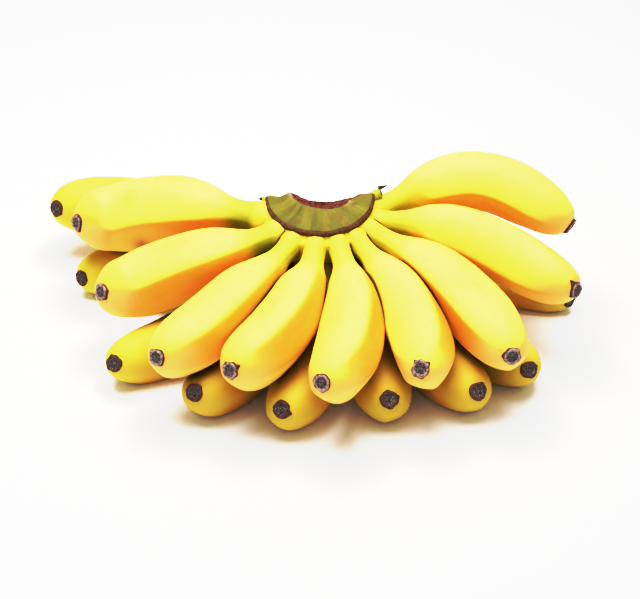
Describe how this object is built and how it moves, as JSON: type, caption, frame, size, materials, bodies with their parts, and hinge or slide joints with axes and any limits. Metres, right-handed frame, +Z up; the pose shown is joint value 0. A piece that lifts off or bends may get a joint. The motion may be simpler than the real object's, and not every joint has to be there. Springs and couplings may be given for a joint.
{
  "type": "hand of small bananas",
  "caption": "Hand of short, plump ripe bananas for eating, fanned out from a cut green crown with a brown ring, lying on its lower row.",
  "frame": {"origin": "on the surface that the hand rests on, below the middle of its outline seen from above", "axes": "+Z up, -Y toward the middle fingers' tips, +X to the right when the tips face the viewer"},
  "size_m": [0.2824, 0.2052, 0.0848],
  "materials": {
    "upper_banana_skin": "smooth, softly satin ripe peel, lemon to warm yellow, with faint long fibres and a few brown specks",
    "lower_banana_skin": "smooth, softly satin ripe peel, a deeper amber yellow with a green hint near the ends",
    "crown_skin": "dull olive-green stalk tissue, streaked, with a rough brown ring and a dry dark red-brown cut face",
    "dried_end": "dry, matt, dark grey-brown scar tissue"
  },
  "bodies": {
    "root": {"crown": "crown_skin", "stub_dried_tip": "dried_end", "banana_upper_1": "upper_banana_skin", "dried_end_upper_1": "dried_end", "banana_upper_2": "upper_banana_skin", "dried_end_upper_2": "dried_end", "banana_upper_3": "upper_banana_skin", "dried_end_upper_3": "dried_end", "banana_upper_4": "upper_banana_skin", "dried_end_upper_4": "dried_end", "banana_upper_5": "upper_banana_skin", "dried_end_upper_5": "dried_end", "banana_upper_6": "upper_banana_skin", "dried_end_upper_6": "dried_end", "banana_upper_7": "upper_banana_skin", "dried_end_upper_7": "dried_end", "banana_upper_8": "upper_banana_skin", "dried_end_upper_8": "dried_end", "banana_upper_9": "upper_banana_skin", "dried_end_upper_9": "dried_end", "banana_lower_1": "lower_banana_skin", "dried_end_lower_1": "dried_end", "banana_lower_2": "lower_banana_skin", "dried_end_lower_2": "dried_end", "banana_lower_3": "lower_banana_skin", "dried_end_lower_3": "dried_end", "banana_lower_4": "lower_banana_skin", "dried_end_lower_4": "dried_end", "banana_lower_5": "lower_banana_skin", "dried_end_lower_5": "dried_end", "banana_lower_6": "lower_banana_skin", "dried_end_lower_6": "dried_end", "banana_lower_7": "lower_banana_skin", "dried_end_lower_7": "dried_end", "banana_lower_8": "lower_banana_skin", "dried_end_lower_8": "dried_end", "banana_lower_9": "lower_banana_skin", "dried_end_lower_9": "dried_end"}
  },
  "joints": []
}
